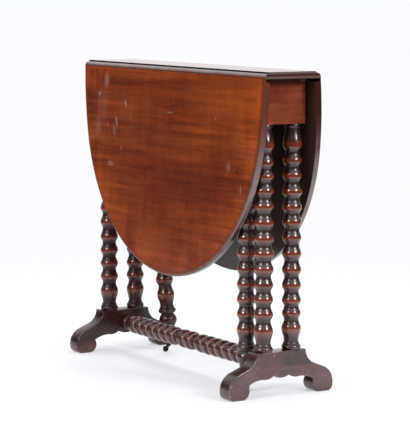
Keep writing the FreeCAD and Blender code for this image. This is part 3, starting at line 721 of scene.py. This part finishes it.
plainSet = {
    "grain": (5.0, 0.6),  # noise detail and grit
    "patch": (16.0, 4.0, 0.6),
    "flush": (27.0, 2.0, 0.5),
    "fleck": (210.0, 2.0, 0.5),
    "grainShare": 1.1,
    "patchShare": 0.9,
    "midAt": 0.50,
    "paleAt": 0.80,
    "outwardGain": 3.0,
    "outwardFrom": (0.5, 0.95),
    "bloomSheenGrain": 0.5,
    "bloomSheenPatches": (0.46, 0.92),
    "bloomSheenShare": 0.9,
    "bloomSheenLess": 0.6,
    "bloomSheenAbove": (0.050, 0.105),
    "scuffedBelow": (0.004, 0.034),
    "scuffedPatches": (0.28, 0.60),
    "scuffedShare": 0.8,
    "shadeBehindFrom": (0.02, 0.10),
    "shadeBehindColour": (0.010, 0.0040, 0.0035, 1),
    "flushFrom": (0.46, 0.62),
    "flushShare": 0.45,
    "speckFrom": (0.68, 0.74),
    "speckPatches": (0.40, 0.56),
    "speckColour": (0.55, 0.47, 0.44, 1),
    "arrisGrain": 0.4,
    "arrisPatches": (0.58, 0.80),
    "arrisShare": 0.6,
    "arrisColour": (0.34, 0.24, 0.21, 1),
    "shadowShare": 0.85,
    "patchRough": 0.22,
    "relief": (0.015, 0.0015),
}

plainLooks = {
    "foot_wood": {
        "dark": (0.020, 0.0080, 0.0070),
        "mid": (0.036, 0.0150, 0.0135),
        "pale": (0.060, 0.0270, 0.0250),
        "darkAt": 0.22,
        "flush": (0.105, 0.0300, 0.0280, 1),
        # pale on the outer faces: bleaching and dust, partly a painted sheen
        "outside": (0.136, 0.0700, 0.0710, 1),
        "scuffed": (0.060, 0.0340, 0.0260, 1),
        "specks": 0.80,
        "grain": (60, 4, 60),
        "rough": 0.26,
        "shine": {"IOR": 1.55, "Coat Weight": 0.45, "Coat Roughness": 0.22},
    },
    # the left foot: darker and less glossy than the right as painted shade, with fewer specks and paler
    # scuffed toes
    "left_foot_wood": {
        "dark": (0.016, 0.0050, 0.0042),
        "mid": (0.030, 0.0100, 0.0085),
        "pale": (0.046, 0.0170, 0.0150),
        "darkAt": 0.22,
        "flush": (0.060, 0.0130, 0.0110, 1),
        "outside": (0.155, 0.0800, 0.0800, 1),
        "scuffed": (0.215, 0.0980, 0.0770, 1),
        # painted shade on the far toe
        "paintedShadeBehind": 0.85,
        "specks": 0.08,
        "grain": (60, 4, 60),
        "rough": 0.28,
        "shine": {"IOR": 1.45, "Coat Weight": 0.2, "Coat Roughness": 0.22},
    },
    "apron_wood": {
        "dark": (0.030, 0.0070, 0.0040),
        "mid": (0.255, 0.0450, 0.0165),
        "pale": (0.360, 0.0760, 0.0300),
        "darkAt": 0.0,
        "flush": (0.290, 0.0480, 0.0180, 1),
        # painted shade at the apron's top, under the overhang of the top
        "shadowed": (0.676, 0.699),
        "specks": 0.0,
        "grain": (90, 6, 90),
        "rough": 0.32,
        "shine": {"IOR": 1.4},
    },
    "frame_wood": {
        "dark": (0.045, 0.0210, 0.0120),
        "mid": (0.085, 0.0420, 0.0230),
        "pale": (0.140, 0.0720, 0.0400),
        "darkAt": 0.22,
        "flush": (0.110, 0.0480, 0.0240, 1),
        "specks": 0.2,
        "grain": (5, 90, 90),
        "rough": 0.60,
        "shine": {"IOR": 1.45},
    },
    "turned_wood": {
        "dark": (0.022, 0.0065, 0.0055),
        "mid": (0.050, 0.0110, 0.0095),
        "pale": (0.070, 0.0150, 0.0110),
        "darkAt": 0.22,
        "flush": (0.080, 0.0150, 0.0100, 1),
        "specks": 0.0,
        "grain": (90, 90, 6),
        "rough": 0.25,
        "shine": {"IOR": 1.6, "Coat Weight": 0.6, "Coat Roughness": 0.15},
    },
}


def weathered(colour, look, place, grain, patch):
    # a foot's outer faces are bleached pale by light and scrubbing, partly a painted sheen, less so towards
    # the top, and its toes are scuffed near the floor; the left foot's far toe takes painted shade
    x, y, height = (axisOf(place, axis) for axis in "XYZ")
    normal = place.node("ShaderNodeTexCoord", {}, {}, "Normal")
    # outer faces pale, partly painted sheen, less so towards the top
    outward = rise(x * axisOf(normal, "X") * plainSet["outwardGain"], *plainSet["outwardFrom"])
    bloomSheen = outward * rise(patch + grain * plainSet["bloomSheenGrain"], *plainSet["bloomSheenPatches"])
    less = plainSet["bloomSheenLess"] * rise(height, *plainSet["bloomSheenAbove"])
    colour = mixed(bloomSheen * (plainSet["bloomSheenShare"] - less), colour, look["outside"])
    scuffed = (1 - rise(height, *plainSet["scuffedBelow"])) * rise(patch, *plainSet["scuffedPatches"])
    colour = mixed(scuffed * plainSet["scuffedShare"], colour, look["scuffed"])
    # painted shade: the left foot's far toe darkened towards +Y
    if "paintedShadeBehind" in look:
        behind = rise(y, *plainSet["shadeBehindFrom"]) * look["paintedShadeBehind"]
        colour = mixed(behind, colour, plainSet["shadeBehindColour"])
    return colour


def plainWood(name, look):
    # streaks along the grain, redder clouds, pale specks and rubbed arrises
    material, tree, place = newFinish(name)
    rubbed = tree.node("ShaderNodeAttribute", {"attribute_name": "rubbed"}, {}, "Fac")
    grain = noise(stretched(place, look["grain"]), 1.0, *plainSet["grain"])
    patch = noise(place, *plainSet["patch"])
    flush = rise(noise(place, *plainSet["flush"]), *plainSet["flushFrom"])
    fleck = rise(noise(place, *plainSet["fleck"]), *plainSet["speckFrom"])
    tone = 0.5 + (grain - 0.5) * plainSet["grainShare"] + (patch - 0.5) * plainSet["patchShare"]
    stops = [
        (look["darkAt"], look["dark"]),
        (plainSet["midAt"], look["mid"]),
        (plainSet["paleAt"], look["pale"]),
    ]
    colour = ramp(tone, stops)
    if "outside" in look:
        colour = weathered(colour, look, place, grain, patch)
    specks = fleck * rise(patch, *plainSet["speckPatches"]) * look["specks"]
    arris = rubbed * rise(patch + grain * plainSet["arrisGrain"], *plainSet["arrisPatches"])
    colour = mixed(flush * plainSet["flushShare"], colour, look["flush"])
    colour = mixed(specks, colour, plainSet["speckColour"])
    colour = mixed(arris * plainSet["arrisShare"], colour, plainSet["arrisColour"])
    if "shadowed" in look:  # painted shade between these two heights, under the overhang of the top
        shadow = rise(axisOf(place, "Z"), *look["shadowed"])
        colour = mixed(shadow * plainSet["shadowShare"], colour, (*look["dark"], 1))
    surface(tree, {
        "Base Color": colour,
        "Roughness": look["rough"] + plainSet["patchRough"] * (patch - 0.5),
        "Normal": bump(grain + patch, *plainSet["relief"]),
        **look["shine"],
    })
    return material


metalSet = {
    "film": (160.0, 5.0, 0.65),
    "filmFrom": (0.38, 0.62),
    "filmRough": 0.25,
    "filmDull": 0.35,
    "relief": (0.15, 0.0006),
}

metalLooks = {
    "hinge_brass": {"bright": (0.55, 0.40, 0.18), "dull": (0.20, 0.13, 0.06), "rough": 0.4},
    "caster_brass": {"bright": (0.085, 0.062, 0.038), "dull": (0.014, 0.011, 0.009), "rough": 0.45},
    "screw_steel": {"bright": (0.42, 0.40, 0.38), "dull": (0.12, 0.10, 0.09), "rough": 0.42},
    "pin_steel": {"bright": (0.50, 0.48, 0.46), "dull": (0.16, 0.14, 0.12), "rough": 0.35},
    "caster_wheel": {"bright": (0.030, 0.027, 0.025), "dull": (0.009, 0.008, 0.008), "rough": 0.5},
}


def agedMetal(slot, look):
    # bright metal under a patchy dull film
    material, tree, place = newFinish(slot)
    film = noise(place, *metalSet["film"])
    cover = rise(film, *metalSet["filmFrom"])
    surface(tree, {
        "Base Color": mixed(cover, (*look["bright"], 1), (*look["dull"], 1)),
        "Roughness": look["rough"] + cover * metalSet["filmRough"],
        "Metallic": 1 - cover * metalSet["filmDull"],
        "Normal": bump(film, *metalSet["relief"]),
    })
    return material


# turned posts: end columns and gate legs, heights in millimetres from the floor

postSet = {
    "beadRadius": 21.5,
    "neckRadius": 16.1,
    "neckShare": 0.57,  # of the way up from one crest to the next
    "unevenRadius": 0.2,
    "columnFoot": 100,
    "legFoot": 96.5,
    "footRing": (11, 19, 2.5),  # height over the foot, radius, bulge
    "lip": (13.5, 18),  # top over the foot, radius
    "coveTop": 18,  # over the foot
    "coveSteps": 6,
    "footWear": 0.45,  # the foot ring and what is under it keep their stain
    "headRing": (591, 600, 16.5, 1.5),  # from, to, radius, bulge
    # a leg's ankle and ball, below its foot ring
    "tip": (42, 12.5),
    "ankle": (42, 63, 12.6, 15.0, 5),
    "ballFoot": (65, 15.5),
    "ball": (65, 93, 15.5, 6.2, 17),
    # turned by hand: base belly, eleven beads and head belly of each
    "crests": {
        "left_near_column": (147, 183, 215, 248, 281, 318, 353, 387, 420, 453, 486, 518, 551),
        "left_far_column": (147, 181, 212, 246, 280, 315, 350, 384, 418, 452, 486, 518, 551),
        "right_near_column": (146, 182, 215, 247, 282, 316, 349, 384, 420, 454, 486, 515, 552),
        "right_far_column": (147, 180, 208, 242, 276, 312, 348, 382, 415, 449, 485, 518, 551),
        "near_gate_leg": (141, 175, 208, 241, 275, 310, 344, 379, 413, 448, 482, 517, 551),
        "far_gate_leg": (142, 178, 212, 246, 280, 314, 348, 381, 415, 449, 483, 517, 551),
    },
}


def postProfile(lower, foot, crests, seed):
    # ring, lip and cove, then an S-curve down to each neck and up to each crest, then the long head
    # and its ring
    neck, share = postSet["neckRadius"], postSet["neckShare"]
    uneven = np.random.default_rng(seed).normal(0, postSet["unevenRadius"], len(crests))
    radii = postSet["beadRadius"] + uneven
    ring, ringRadius, bulge = postSet["footRing"]
    lip, lipRadius = postSet["lip"]
    cove = foot + postSet["coveTop"]
    rows = [
        lower,
        bowed(foot, foot + ring, ringRadius, bulge),
        [(foot + ring, lipRadius), (foot + lip, lipRadius)],
        swell(foot + lip, cove, lipRadius, neck, postSet["coveSteps"]),
        swell(cove, crests[0], neck, radii[0])[1:],
    ]
    for low, high, below, above in zip(crests, crests[1:], radii, radii[1:]):
        hollow = low + share * (high - low)
        rows.append(swell(low, hollow, below, neck)[1:])
        rows.append(swell(hollow, high, neck, above)[1:])
    rows.append(swell(crests[-1], postSet["headRing"][0], radii[-1], neck)[1:])
    rows.append(bowed(*postSet["headRing"]))
    return np.vstack(rows)


def makePost(name, lower, foot, origin, axis, seed, material):
    profile = postProfile(lower, foot, postSet["crests"][name], seed)
    post = revolved(name + "_turning", profile, origin, axis)
    neck, bead = postSet["neckRadius"], postSet["beadRadius"]
    share = np.clip((profile[:, 1] - neck) / (bead - neck), 0, 1)
    share[profile[:, 0] < foot + postSet["coveTop"]] *= postSet["footWear"]
    rubbedBy(post, share)
    dress(post, name, material)


def makePosts(right, left):
    columns = ["left_near_column", "left_far_column", "right_near_column", "right_far_column"]
    foot, ringRadius = postSet["columnFoot"], postSet["footRing"][1]
    for seed, name in enumerate(columns):
        low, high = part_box(name)
        middle = (low + high) / 2
        origin = (middle.x, middle.y, 0)
        # posts at the left end take the darker copy: painted shade
        material = right if middle.x > 0 else left
        makePost(name, [(foot, ringRadius)], foot, origin, (0, 0, 1), seed, material)
    foot, tip, ballFoot = postSet["legFoot"], postSet["tip"], postSet["ballFoot"]
    ring = [(foot, ballFoot[1]), (foot, ringRadius)]
    lower = np.vstack([[tip], swell(*postSet["ankle"]), [ballFoot], bowed(*postSet["ball"]), ring])
    for seed, side in enumerate(("near", "far"), len(columns)):
        swivel = joints[side + "_caster_swivel"]
        material = right if swivel["pos_m"][0] > 0 else left
        makePost(side + "_gate_leg", lower, foot, swivel["pos_m"], swivel["axis"], seed, material)


# stretcher between the feet, places along X in millimetres from its middle

stretcherSet = {
    "beadRadius": 21.9,
    "grooveRadius": 16.9,
    "grooveWidth": 2.6,
    "fullness": 3.0,
    "beadSteps": 21,
    "unevenRadius": 0.15,
    "seed": 11,
    "beadRuns": [(-291, -76, 7), (-58, 2, 2), (21, 299.9, 9)],  # from, to, beads
    "reels": [(-76, -58), (2, 21)],
    "reelRing": (3, 1.2, 2.4),  # half width, depth under the grooves, bulge
    "end": 326.9,
    "collarRadius": 13.5,
    "collarRing": (13.5, 6.75, 4),  # middle in from the end, half width, bulge
    "plainShare": 0.35,  # wear of the collars and reels
}


def makeStretcher(material):
    # rows of (place, radius), put in order: collar, beads, reel, beads, reel, beads, collar
    bead, groove = stretcherSet["beadRadius"], stretcherSet["grooveRadius"]
    gap, full = stretcherSet["grooveWidth"] / 2, stretcherSet["fullness"]
    random = np.random.default_rng(stretcherSet["seed"])
    runs, reels, end = stretcherSet["beadRuns"], stretcherSet["reels"], stretcherSet["end"]
    rows = []
    for start, stop, count in runs:
        edges = np.linspace(start, stop, count + 1)
        for low, high in zip(edges, edges[1:]):
            crest = bead - groove + random.normal(0, stretcherSet["unevenRadius"])
            rows.append(bowed(low + gap, high - gap, groove, crest, stretcherSet["beadSteps"], full))
    wide, under, bulge = stretcherSet["reelRing"]
    for low, high in reels:
        middle = (low + high) / 2
        ring = bowed(middle - wide, middle + wide, groove - under, bulge)
        rows.append(np.vstack([[(low + gap, groove)], ring, [(high - gap, groove)]]))
    collars = [(-end, runs[0][0]), (runs[-1][1], end)]
    radius = stretcherSet["collarRadius"]
    inset, wide, bulge = stretcherSet["collarRing"]
    for middle, (first, last) in zip((inset - end, end - inset), collars):
        ring = bowed(middle - wide, middle + wide, radius, bulge)
        rows.append(np.vstack([[(first, radius)], ring, [(last, radius)]]))
    profile = np.vstack(sorted(rows, key=lambda row: row[0, 0]))
    low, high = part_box("stretcher")
    piece = revolved("stretcher_turning", profile, (0, 0, (low.z + high.z) / 2), (1, 0, 0))
    share = np.clip((profile[:, 1] - groove) / (bead - groove), 0, 1)
    for low, high in collars + reels:
        share[(profile[:, 0] >= low) & (profile[:, 0] <= high)] = stretcherSet["plainShare"]
    rubbedBy(piece, share)
    dress(piece, "stretcher", material)


# boards with softened arrises

def arcPath(corners, stepAngle=9):
    # closed outline through corners (y, z), or (y, z, radius, turn) where an arc leaves the corner
    points = []
    for corner, following in zip(corners, corners[1:] + corners[:1]):
        start, stop = np.array(corner[:2], float), np.array(following[:2], float)
        if len(corner) == 2:
            points.append(start[None, :])
            continue
        radius, turn = corner[2:]
        chord = stop - start
        left = np.array((-chord[1], chord[0])) / np.linalg.norm(chord)
        centre = (start + stop) / 2 + left * turn * math.sqrt(max(radius**2 - chord @ chord / 4, 0))
        first = math.atan2(*(start - centre)[::-1])
        sweep = 2 * turn * math.asin(min(np.linalg.norm(chord) / 2 / radius, 1))
        steps = max(2, round(abs(math.degrees(sweep)) / stepAngle))
        angles = first + sweep * np.arange(steps) / steps
        points.append(centre + radius * np.column_stack([np.cos(angles), np.sin(angles)]))
    return np.vstack(points)


def roundedBoard(name, outline, low, high, arris, steps=5):
    # the outline carried along X from low to high, drawn in by arris * (1 - sin a) over the quarter
    # round at each end
    ahead, behind = np.roll(outline, -1, 0) - outline, outline - np.roll(outline, 1, 0)
    along = ahead / np.linalg.norm(ahead, axis=1)[:, None] + behind / np.linalg.norm(behind, axis=1)[:, None]
    along = along / np.linalg.norm(along, axis=1)[:, None]
    inward = np.column_stack([-along[:, 1], along[:, 0]])
    area = np.sum(outline[:, 0] * np.roll(outline[:, 1], -1) - np.roll(outline[:, 0], -1) * outline[:, 1])
    inward = inward * np.sign(area)
    angle = np.linspace(0, np.pi / 2, steps)
    inset = arris * (1 - np.sin(angle))
    setback = arris * (1 - np.cos(angle))
    across = np.concatenate([low + setback, (high - setback)[::-1]])
    inset = np.concatenate([inset, inset[::-1]])
    flat = outline[None] + inset[:, None, None] * inward[None]
    rings = np.concatenate([np.broadcast_to(across[:, None, None], (*flat.shape[:2], 1)), flat], -1) * mm
    if area < 0:
        rings = rings[:, ::-1]
    board = ringed(name, rings)
    rubbedBy(board, np.sin(2 * np.concatenate([angle, angle[::-1]])))
    return board


footSet = {
    "arris": 2.2,
    # right half from the flat top round to the middle of the underside
    "half": [
        (64, 100, 35, 1),
        (85.89, 67.55),
        (113.3, 56.62, 39.5, -1),
        (137.18, 12, 14, -1),
        (125, 0),
        (98, 0, 20, -1),
        (86.5, 30.5, 70, 1),
        (48, 40.5, 32, -1),
        (20.5, 46.5, 40.95, -1),
    ],
}


def mirroredOutline(half):
    # the other half: the same corners in reverse, each with the arc that reached it
    other = []
    for here, before in zip(reversed(half), reversed([half[-1]] + half[:-1])):
        arc = before[2:] if here is not half[0] else ()
        other.append((-here[0], here[1], *arc))
    return half + other


def makeFeet(left, right):
    outline = arcPath(mirroredOutline(footSet["half"]))
    for name, material in (("left_foot", left), ("right_foot", right)):
        low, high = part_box(name)
        foot = roundedBoard(name + "_board", outline, low.x / mm, high.x / mm, footSet["arris"])
        dress(foot, name, material)


apronSet = {"arris": 1.0, "corner": 1.0, "cornerStep": 30}


def makeAprons(material):
    for name in ("left_apron", "right_apron"):
        low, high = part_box(name)
        y0, y1, z0, z1 = low.y / mm, high.y / mm, low.z / mm, high.z / mm
        r = apronSet["corner"]
        corners = [
            (y1 - r, z0, r, 1),
            (y1, z0 + r),
            (y1, z1 - r, r, 1),
            (y1 - r, z1),
            (y0 + r, z1, r, 1),
            (y0, z1 - r),
            (y0, z0 + r, r, 1),
            (y0 + r, z0),
        ]
        outline = arcPath(corners, apronSet["cornerStep"])
        board = roundedBoard(name + "_board", outline, low.x / mm, high.x / mm, apronSet["arris"])
        dress(board, name, material)


# leaves: half ovals with a coved hinge edge and a stepped, rounded rim, in millimetres

leafSet = {
    "halfLength": 402,
    "reach": 472,
    "flankRadius": 740,
    "innerFace": -2.88,  # hinge flaps stand 0.12 mm proud of it
    "rimFrom": 0.5,
    "rimStart": 7,
    "rimRows": 3,
    "rimRound": 5,
    "rimQuirk": 0.5,
    "outerFace": 13,
    "outerArris": [(-1, 0), (-0.35, 0), (-0.1, 0.1), (0, 0.35)],  # rows from the outer face and the step
    "softArris": 1.2,
    "roundSteps": 9,
    "coveRadius": 10.4,
    "jointGap": 0.4,
    "flankSteps": 49,
    "noseSteps": 97,
    "hingeSteps": 34,
}


def leafArcs():
    # half length, reach, radius of the side arcs, and radius of the nose arc that meets them smoothly
    half, reach, flank = leafSet["halfLength"], leafSet["reach"], leafSet["flankRadius"]
    nose = (flank**2 - (half - flank) ** 2 - reach**2) / (2 * (flank - reach))
    return half, reach, flank, nose


def leafSection():
    # rows of (height over the pin, inset from the oval), from the inner face round the rim to the outer face
    soft, full, start = leafSet["softArris"], leafSet["rimRound"], leafSet["rimStart"]
    low, count = leafSet["innerFace"], leafSet["rimRows"]
    quarter = np.linspace(0, np.pi / 2, leafSet["roundSteps"])
    arris = np.column_stack([low + soft * (1 - np.cos(quarter)), soft * (1 - np.sin(quarter))])
    body = np.column_stack([np.linspace(leafSet["rimFrom"], start, count + 1)[:-1], np.zeros(count)])
    thumb = np.column_stack([start + full * np.sin(quarter), full * (1 - np.cos(quarter))])
    outer = np.array(leafSet["outerArris"]) + (leafSet["outerFace"], full + leafSet["rimQuirk"])
    return np.vstack([arris, body, thumb, outer])


def makeLeaf(side, material):
    # one ring per section row: side arc, nose arc, side arc, then back along the hinge at the cove's depth
    # sqrt(coveRadius^2 - height^2); the oval's arcs are drawn in by the row's inset
    half, reach, flank, nose = leafArcs()
    join = math.atan2(reach - nose, flank - half)
    height, inset = leafSection().T
    cove = np.sqrt(np.clip(leafSet["coveRadius"] ** 2 - height**2, leafSet["jointGap"] ** 2, None))
    share = np.linspace(0, 1, leafSet["flankSteps"])
    flankTurn = np.arcsin(cove / (flank - inset))[:, None]
    flankTurn = flankTurn + (join - flankTurn) * share
    noseTurn = np.linspace(join, np.pi - join, leafSet["noseSteps"])[None, 1:-1]
    flankX = half - flank + (flank - inset)[:, None] * np.cos(flankTurn)
    flankD = (flank - inset)[:, None] * np.sin(flankTurn)
    noseX = (nose - inset)[:, None] * np.cos(noseTurn)
    noseD = reach - nose + (nose - inset)[:, None] * np.sin(noseTurn)
    hingeX = flankX[:, :1] * np.linspace(-1, 1, leafSet["hingeSteps"])[None, 1:-1]
    x = np.hstack([flankX, noseX, -flankX[:, ::-1], hingeX])
    down = np.hstack([flankD, noseD, flankD[:, ::-1], 0 * hingeX + cove[:, None]])
    hinge = joints[side + "_leaf_hinge"]
    drop = math.radians(hinge["range_deg"][1])
    out = math.copysign(1, hinge["pos_m"][1])
    y = out * (down * math.cos(drop) + height[:, None] * math.sin(drop))
    z = height[:, None] * math.cos(drop) - down * math.sin(drop)
    rings = np.stack([x, y, z], -1) * mm + np.array(hinge["pos_m"])
    leaf = ringed(side + "_leaf_board", rings if out > 0 else rings[:, ::-1])
    dress(leaf, side + "_leaf", material)


wheelSet = {
    "radius": 7,
    "halfWidth": 4,
    "round": 1.4,
    "roundSteps": 6,
    "bore": 1.6,
    "hub": 3.0,
    "hubSlope": 0.4,
    "treadSlope": 0.6,
    "dish": 0.7,
    "sides": 40,
}


def makeWheels(material):
    # caster wheel: dished sides, a raised hub and a rounded tread
    half, soft, hub = wheelSet["halfWidth"], wheelSet["round"], wheelSet["hub"]
    dished, tread = half - wheelSet["dish"], wheelSet["radius"] - soft
    angle = np.linspace(0, np.pi / 2, wheelSet["roundSteps"])
    side = np.vstack([
        [(half, wheelSet["bore"]), (half, hub), (dished, hub + wheelSet["hubSlope"])],
        [(dished, tread - wheelSet["treadSlope"]), (half, tread)],
        np.column_stack([half - soft * (1 - np.cos(angle)), tread + soft * np.sin(angle)]),
    ])
    profile = np.vstack([side * (-1, 1), side[::-1]])
    for name in ("near", "far"):
        roll = joints[name + "_caster_roll"]
        wheel = revolved(name + "_caster_tread", profile, roll["pos_m"], roll["axis"], wheelSet["sides"])
        dress(wheel, name + "_caster_wheel", material)


makeFloor()
makeWorld()
makeLamps()
print("studio lit")

finishes = {slot: plainWood(slot, look) for slot, look in plainLooks.items()}
finishes.update({slot: agedMetal(slot, look) for slot, look in metalLooks.items()})
print("finishes made:", len(finishes))

boards = {name: boardFinish(name + "_polish", board) for name, board in boardSet.items()}
for name, node in frame["nodes"].items():
    node.data.materials.clear()
    node.data.materials.append(boards.get(name) or finishes[slotOf[name]])

rightPost = turnedFinish("turned_post", turnedLooks["post"])
shadedLeftPost = turnedFinish("turned_left_post_shaded", turnedLooks["shadedLeftPost"])
makePosts(rightPost, shadedLeftPost)
makeStretcher(turnedFinish("turned_stretcher", turnedLooks["stretcher"]))
for side in ("near", "far"):
    makeLeaf(side, boards[side + "_leaf"])
makeFeet(finishes["left_foot_wood"], finishes["foot_wood"])
makeAprons(finishes["apron_wood"])
makeWheels(finishes["caster_wheel"])

scene.view_settings.view_transform = "Standard"
